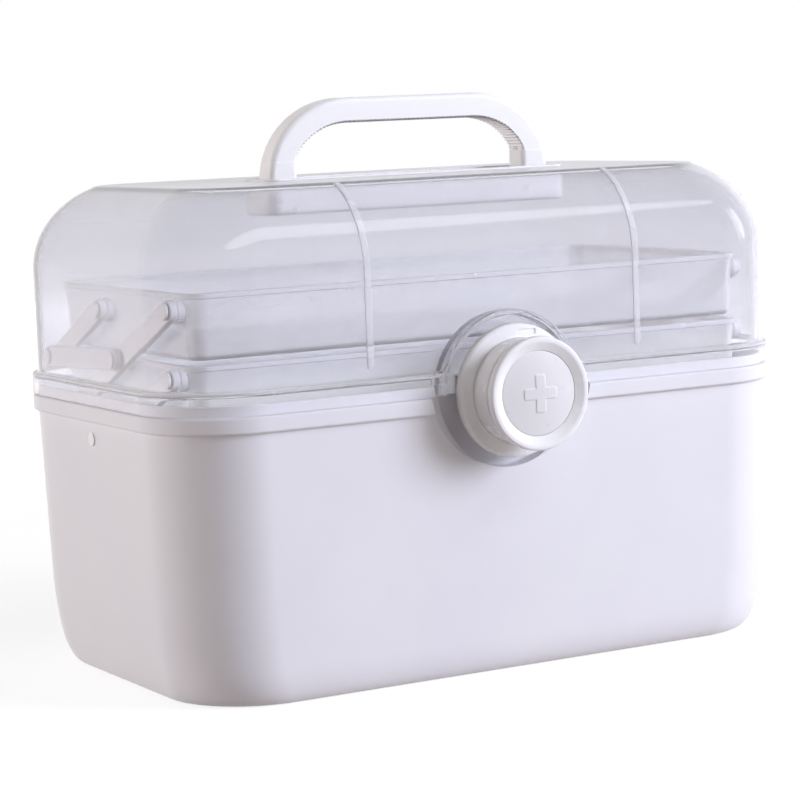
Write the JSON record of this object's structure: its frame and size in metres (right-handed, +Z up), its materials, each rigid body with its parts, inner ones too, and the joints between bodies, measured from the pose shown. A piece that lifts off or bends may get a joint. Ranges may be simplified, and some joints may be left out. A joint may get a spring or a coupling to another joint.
{
  "type": "medicine box",
  "caption": "Lidded home medicine box: opaque tub, clear hinged dome lid with folding carry handle, round turn latch and two clear trays that lift on folding arms.",
  "frame": {"origin": "centre of the underside of the tub, on the surface that the box stands on", "axes": "+X along the length, to the right seen from the front; +Y to the rear, towards the hinge; +Z up"},
  "size_m": [0.33, 0.2326, 0.263],
  "materials": {
    "shell_white": "smooth moulded polypropylene, fine satin",
    "part_white": "glossy white moulding",
    "arm_white": "satin moulded links and rivets",
    "lid_clear": "clear moulded plastic with a faint blue cast",
    "tray_clear": "clear moulded plastic, slightly hazy",
    "frosted": "translucent milky plastic",
    "steel": "plain steel pins and screw"
  },
  "bodies": {
    "base": {"base_shell": "shell_white", "hinge_pins": "steel", "base_arm_pins": "arm_white"},
    "lid": {"lid_shell": "lid_clear", "handle_pocket": "frosted", "handle_pins": "steel", "knob_bezel": "part_white"},
    "knob": {"knob_grip": "part_white", "knob_face": "part_white", "latch_cam": "arm_white", "cam_screw": "steel"},
    "handle": {"handle": "part_white"},
    "long_arms": {"left_long_arm": "arm_white", "right_long_arm": "arm_white"},
    "lower_arms": {"left_lower_arm": "arm_white", "right_lower_arm": "arm_white"},
    "lower_tray": {"lower_tray": "tray_clear", "lower_tray_pins": "arm_white", "left_tie_bar": "arm_white", "right_tie_bar": "arm_white"},
    "upper_arms": {"left_upper_arm": "arm_white", "right_upper_arm": "arm_white"},
    "upper_tray": {"upper_tray": "tray_clear", "upper_tray_pins": "arm_white"}
  },
  "joints": [
    {"name": "lid_hinge", "type": "hinge", "parent": "base", "child": "lid", "pos_m": [0, 0.105, 0.12915], "axis": [-1, 0, 0], "range_deg": [0, 108]},
    {"name": "knob_turn", "type": "hinge", "parent": "lid", "child": "knob", "pos_m": [0, -0.099, 0.1294], "axis": [0, 1, 0], "range_deg": [0, 90]},
    {"name": "handle_fold", "type": "hinge", "parent": "lid", "child": "handle", "pos_m": [0, -0.01, 0.2342], "axis": [-1, 0, 0], "range_deg": [0, 90]},
    {"name": "long_arm_lift", "type": "hinge", "parent": "base", "child": "long_arms", "pos_m": [0, 0.0528, 0.1193], "axis": [-1, 0, 0], "range_deg": [0, 68]},
    {"name": "lower_arm_lift", "type": "hinge", "parent": "base", "child": "lower_arms", "pos_m": [0, 0.002, 0.1133], "axis": [-1, 0, 0], "range_deg": [0, 68]},
    {"name": "lower_tray_level", "type": "hinge", "parent": "long_arms", "child": "lower_tray", "pos_m": [0, -0.01202, 0.14994], "axis": [1, 0, 0], "range_deg": [0, 68]},
    {"name": "upper_arm_lift", "type": "hinge", "parent": "lower_tray", "child": "upper_arms", "pos_m": [0, 0.06198, 0.14694], "axis": [-1, 0, 0], "range_deg": [0, 68]},
    {"name": "upper_tray_level", "type": "hinge", "parent": "long_arms", "child": "upper_tray", "pos_m": [0, -0.06301, 0.17405], "axis": [1, 0, 0], "range_deg": [0, 68]}
  ],
  "couplings": [
    {"joint": "long_arm_lift", "follows": "lid_hinge", "ratio": 0.62963},
    {"joint": "lower_arm_lift", "follows": "lid_hinge", "ratio": 0.62963},
    {"joint": "lower_tray_level", "follows": "lid_hinge", "ratio": 0.62963},
    {"joint": "upper_arm_lift", "follows": "lid_hinge", "ratio": 0.62963},
    {"joint": "upper_tray_level", "follows": "lid_hinge", "ratio": 0.62963}
  ]
}
